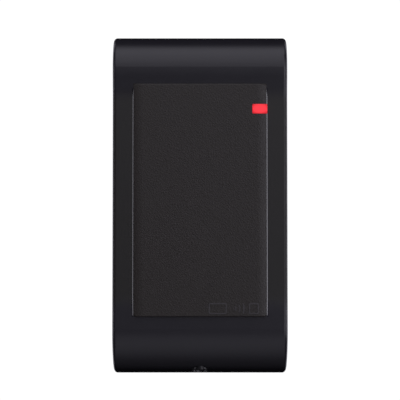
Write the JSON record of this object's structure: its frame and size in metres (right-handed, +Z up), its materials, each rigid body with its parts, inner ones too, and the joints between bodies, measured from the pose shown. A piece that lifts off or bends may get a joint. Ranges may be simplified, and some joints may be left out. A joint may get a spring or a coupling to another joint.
{
  "type": "wall-mounted rfid card reader",
  "caption": "Slim black proximity card reader: swings on a hooked wall plate, locked by a captive bottom screw, with a red status window on a raised grained panel.",
  "frame": {"origin": "middle of the wall plate's back face, on the plane of the wall", "axes": "+Z up, +Y into the wall, the front with the panel and the light faces -Y, +X to the right of somebody facing it"},
  "size_m": [0.0604, 0.0201, 0.118],
  "materials": {
    "black_abs": "moulded ABS, fine leather grain on the panel, satin on the rolls",
    "black_lid": "moulded ABS, light spark texture",
    "black_plate": "glass-filled nylon, matt",
    "board_green": "solder-masked glass-epoxy board",
    "brass": "knurled brass",
    "ceramic_tan": "sintered ceramic",
    "chip_black": "moulded epoxy",
    "coil_copper": "enamelled copper wire, bonded",
    "crystal_can": "drawn nickel silver can",
    "film_red": "dipped epoxy",
    "gold_pin": "gold-flashed brass",
    "header_ivory": "moulded nylon",
    "hot_glue": "translucent hot glue",
    "label_paper": "blank polyester label",
    "led_resin": "clear tinted resin",
    "led_white": "white moulded cup",
    "nylon_white": "natural nylon",
    "red_window": "translucent red polycarbonate, lit",
    "resistor_black": "glazed thick film",
    "silicone": "soft silicone",
    "spring_steel": "spring wire",
    "steel_black": "black-oxide steel",
    "steel_zinc": "zinc-plated steel",
    "switch_grey": "moulded thermoplastic",
    "tantalum": "moulded epoxy",
    "tin": "tinned copper"
  },
  "bodies": {
    "wall_plate": {"wall_plate": "black_plate", "lock_insert": "brass"},
    "reader": {"front_cover": "black_abs", "rear_cover": "black_lid", "cover_seal": "silicone", "light_pipe": "red_window", "rear_label": "label_paper", "case_screws": "steel_zinc", "main_board": "board_green", "board_screws": "steel_zinc", "antenna_coil": "coil_copper", "antenna_leads": "coil_copper", "coil_pads": "hot_glue", "buzzer": "chip_black", "microcontroller": "chip_black", "radio_chip": "chip_black", "chip_leads": "tin", "voltage_regulator": "chip_black", "regulator_tab": "tin", "crystal": "crystal_can", "bulk_capacitor": "tantalum", "tuning_capacitors": "film_red", "chip_resistors": "resistor_black", "chip_capacitors": "ceramic_tan", "transistors": "chip_black", "diodes": "chip_black", "status_led": "led_white", "led_lens": "led_resin", "wiring_header": "header_ivory", "header_pins": "gold_pin", "tamper_switch": "switch_grey", "tamper_spring": "spring_steel"},
    "tamper_plunger": {"tamper_plunger": "nylon_white"},
    "lock_washer": {"lock_washer": "nylon_white"},
    "lock_screw": {"lock_screw": "steel_black"}
  },
  "joints": [
    {"name": "reader_swing", "type": "hinge", "parent": "wall_plate", "child": "reader", "pos_m": [0, -0.006, 0.0535], "axis": [-1, 0, 0], "range_deg": [0, 22]},
    {"name": "tamper_press", "type": "slide", "parent": "reader", "child": "tamper_plunger", "axis": [0, 1, 0], "range_m": [0, 0.0015], "stiffness_N_per_m": 120, "springref_m": 0.004},
    {"name": "lock_travel", "type": "slide", "parent": "reader", "child": "lock_washer", "axis": [0, 0, 1], "range_m": [0, 0.004]},
    {"name": "lock_turn", "type": "hinge", "parent": "lock_washer", "child": "lock_screw", "pos_m": [0, -0.0094, -0.0566], "axis": [0, 0, 1], "range_deg": [0, 2881]}
  ],
  "couplings": [
    {"joint": "lock_turn", "follows": "lock_travel", "rad_per_m": 12566}
  ]
}
